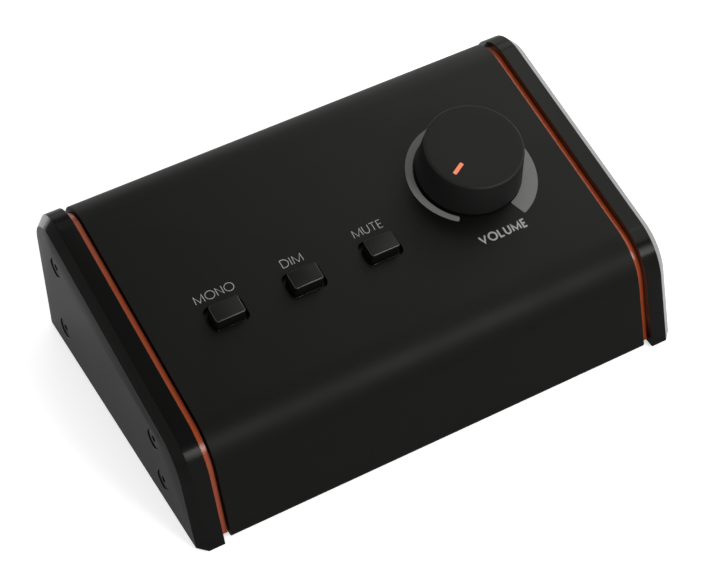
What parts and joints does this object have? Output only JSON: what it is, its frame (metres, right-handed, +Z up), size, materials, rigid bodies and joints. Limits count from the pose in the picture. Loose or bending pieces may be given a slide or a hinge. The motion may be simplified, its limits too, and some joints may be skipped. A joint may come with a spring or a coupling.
{
  "type": "studio monitor controller",
  "caption": "Desktop studio monitor controller with a sloped panel, a turning volume knob, spring-return push buttons, bevelled cheeks and rear audio sockets.",
  "frame": {"origin": "on the table, below the middle of the part's box", "axes": "+X to the right across the width, +Y to the rear, +Z up; the front faces -Y"},
  "size_m": [0.2, 0.1288, 0.0739],
  "materials": {
    "cheek": "fine matt black",
    "accent": "satin orange",
    "zinc_sheet": "zinc-plated sheet",
    "zinc_steel": "zinc-plated steel",
    "black_screw": "black oxide",
    "cover": "fine matt black",
    "rubber": "matt",
    "knob": "soft matt",
    "brass": "turned",
    "pointer": "satin",
    "bright_steel": "turned",
    "button": "satin",
    "switch_plunger": "satin",
    "switch_case": "satin",
    "board": "solder resist",
    "ribbon": "satin",
    "socket_plastic": "satin",
    "socket_metal": "satin nickel",
    "contact": "plated"
  },
  "bodies": {
    "housing": {"left_cheek": "cheek", "right_cheek": "cheek", "left_accent_plate": "accent", "right_accent_plate": "accent", "left_side_frame": "zinc_sheet", "right_side_frame": "zinc_sheet", "left_press_nuts": "zinc_steel", "right_press_nuts": "zinc_steel", "left_cheek_screws": "black_screw", "right_cheek_screws": "black_screw", "top_cover": "cover", "base_plate": "cover", "rear_panel": "cover", "rubber_feet": "rubber", "base_screws": "black_screw", "lip_screws": "black_screw", "pot_bushing": "zinc_steel", "pot_washer": "zinc_steel", "pot_nut": "zinc_steel", "pot_can": "zinc_steel", "mono_switch": "switch_case", "dim_switch": "switch_case", "mute_switch": "switch_case", "control_board": "board", "board_standoffs": "zinc_steel", "board_screws": "zinc_steel", "control_header": "switch_case", "rear_board": "board", "rear_header": "switch_case", "ribbon_cable": "ribbon", "input_left": "socket_plastic", "input_right": "socket_plastic", "output_left": "socket_metal", "output_right": "socket_metal", "input_contacts": "contact", "output_pins": "contact", "socket_screws": "black_screw"},
    "volume": {"volume_knob": "knob", "knob_hub": "brass", "knob_pointer": "pointer", "pot_shaft": "bright_steel", "pot_wiper": "brass"},
    "mono_key": {"mono_button": "button", "mono_plunger": "switch_plunger"},
    "dim_key": {"dim_button": "button", "dim_plunger": "switch_plunger"},
    "mute_key": {"mute_button": "button", "mute_plunger": "switch_plunger"}
  },
  "joints": [
    {"name": "volume_turn", "type": "hinge", "parent": "housing", "child": "volume", "pos_m": [0.05025, 0.00528, 0.05417], "axis": [0, 0.2198, -0.9755], "range_deg": [-21, 279]},
    {"name": "mono_press", "type": "slide", "parent": "housing", "child": "mono_key", "axis": [0, 0.2198, -0.9755], "range_m": [0, 0.0025], "stiffness_N_per_m": 600, "springref_m": -0.0005},
    {"name": "dim_press", "type": "slide", "parent": "housing", "child": "dim_key", "axis": [0, 0.2198, -0.9755], "range_m": [0, 0.0025], "stiffness_N_per_m": 600, "springref_m": -0.0005},
    {"name": "mute_press", "type": "slide", "parent": "housing", "child": "mute_key", "axis": [0, 0.2198, -0.9755], "range_m": [0, 0.0025], "stiffness_N_per_m": 600, "springref_m": -0.0005}
  ]
}
